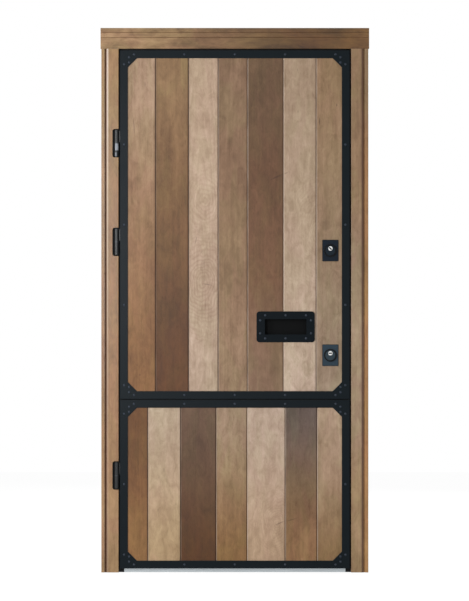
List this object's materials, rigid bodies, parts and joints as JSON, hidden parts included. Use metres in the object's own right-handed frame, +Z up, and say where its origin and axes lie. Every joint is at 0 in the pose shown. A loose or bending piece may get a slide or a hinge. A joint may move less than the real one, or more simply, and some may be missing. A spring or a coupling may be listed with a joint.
{
  "type": "entrance door",
  "caption": "Outward opening steel entrance door in its frame, faced with planks in riveted straps, with a cup pull and locks.",
  "frame": {"origin": "middle of the threshold's front edge, on the floor", "axes": "+X to the lock side seen from outside, +Y from the outside face inwards, +Z up"},
  "size_m": [1.036, 0.152, 2.1],
  "materials": {
    "frame_paint": "satin powder coat",
    "sill_steel": "brushed stainless",
    "casing_wood": "satin stained wood",
    "plank_wood": "satin weathered wood",
    "strap_steel": "satin black",
    "hinge_steel": "satin black",
    "bright_steel": "plated",
    "washer_steel": "oiled turned steel",
    "lock_black": "satin black",
    "inner_fittings": "satin black",
    "leaf_steel": "satin powder coat",
    "wool": "mineral wool",
    "inner_board": "satin stained board",
    "seal_rubber": "matt"
  },
  "bodies": {
    "frame": {"frame_hinge_jamb": "frame_paint", "frame_lock_jamb": "frame_paint", "frame_head": "frame_paint", "threshold": "sill_steel", "casing_left": "casing_wood", "casing_right": "casing_wood", "casing_header": "casing_wood", "frame_seal": "seal_rubber", "upper_strike_plate": "bright_steel", "lower_strike_plate": "bright_steel", "top_hinge_frame_half": "hinge_steel", "middle_hinge_frame_half": "hinge_steel", "bottom_hinge_frame_half": "hinge_steel", "hinge_pins": "bright_steel", "hinge_washers": "washer_steel"},
    "leaf": {"bottom_hinge_leaf_half": "hinge_steel", "inner_lock_plates": "inner_fittings", "inner_pull_bar": "inner_fittings", "leaf_inner_panel": "inner_board", "leaf_inner_tray": "leaf_steel", "leaf_insulation": "wool", "leaf_outer_skin": "leaf_steel", "leaf_seal": "seal_rubber", "leaf_stiffeners": "leaf_steel", "lower_lock_case": "bright_steel", "lower_lock_cylinder": "bright_steel", "lower_lock_guard": "lock_black", "lower_lock_plate": "lock_black", "lower_plank_1": "plank_wood", "lower_plank_2": "plank_wood", "lower_plank_3": "plank_wood", "lower_plank_4": "plank_wood", "lower_plank_5": "plank_wood", "lower_plank_6": "plank_wood", "lower_plank_7": "plank_wood", "lower_strap_frame": "strap_steel", "lower_strap_rivets": "strap_steel", "middle_hinge_leaf_half": "hinge_steel", "pull_handle": "strap_steel", "pull_handle_rivets": "strap_steel", "top_hinge_leaf_half": "hinge_steel", "upper_lock_case": "bright_steel", "upper_lock_cylinder": "bright_steel", "upper_lock_guard": "lock_black", "upper_lock_plate": "lock_black", "upper_plank_1": "plank_wood", "upper_plank_2": "plank_wood", "upper_plank_3": "plank_wood", "upper_plank_4": "plank_wood", "upper_plank_5": "plank_wood", "upper_plank_6": "plank_wood", "upper_plank_7": "plank_wood", "upper_strap_frame": "strap_steel", "upper_strap_rivets": "strap_steel"},
    "upper_key": {"upper_lock_plug": "bright_steel", "upper_thumbturn": "inner_fittings"},
    "upper_bolts": {"upper_lock_bolts": "bright_steel"},
    "lower_key": {"lower_lock_plug": "bright_steel", "lower_thumbturn": "inner_fittings"},
    "lower_bolts": {"lower_lock_bolts": "bright_steel"}
  },
  "joints": [
    {"name": "leaf_swing", "type": "hinge", "parent": "frame", "child": "leaf", "pos_m": [-0.456, -0.014, 0.3741], "axis": [0, 0, -1], "range_deg": [0, 110]},
    {"name": "upper_key_turn", "type": "hinge", "parent": "leaf", "child": "upper_key", "pos_m": [0.368, 0.025, 1.2494], "axis": [0, 1, 0], "range_deg": [0, 360]},
    {"name": "upper_bolt_slide", "type": "slide", "parent": "leaf", "child": "upper_bolts", "axis": [1, 0, 0], "range_m": [0, 0.02]},
    {"name": "lower_key_turn", "type": "hinge", "parent": "leaf", "child": "lower_key", "pos_m": [0.368, 0.025, 0.8459], "axis": [0, 1, 0], "range_deg": [0, 360]},
    {"name": "lower_bolt_slide", "type": "slide", "parent": "leaf", "child": "lower_bolts", "axis": [1, 0, 0], "range_m": [0, 0.02]}
  ],
  "couplings": [
    {"joint": "upper_key_turn", "follows": "upper_bolt_slide", "rad_per_m": 314.16},
    {"joint": "lower_key_turn", "follows": "lower_bolt_slide", "rad_per_m": 314.16}
  ]
}
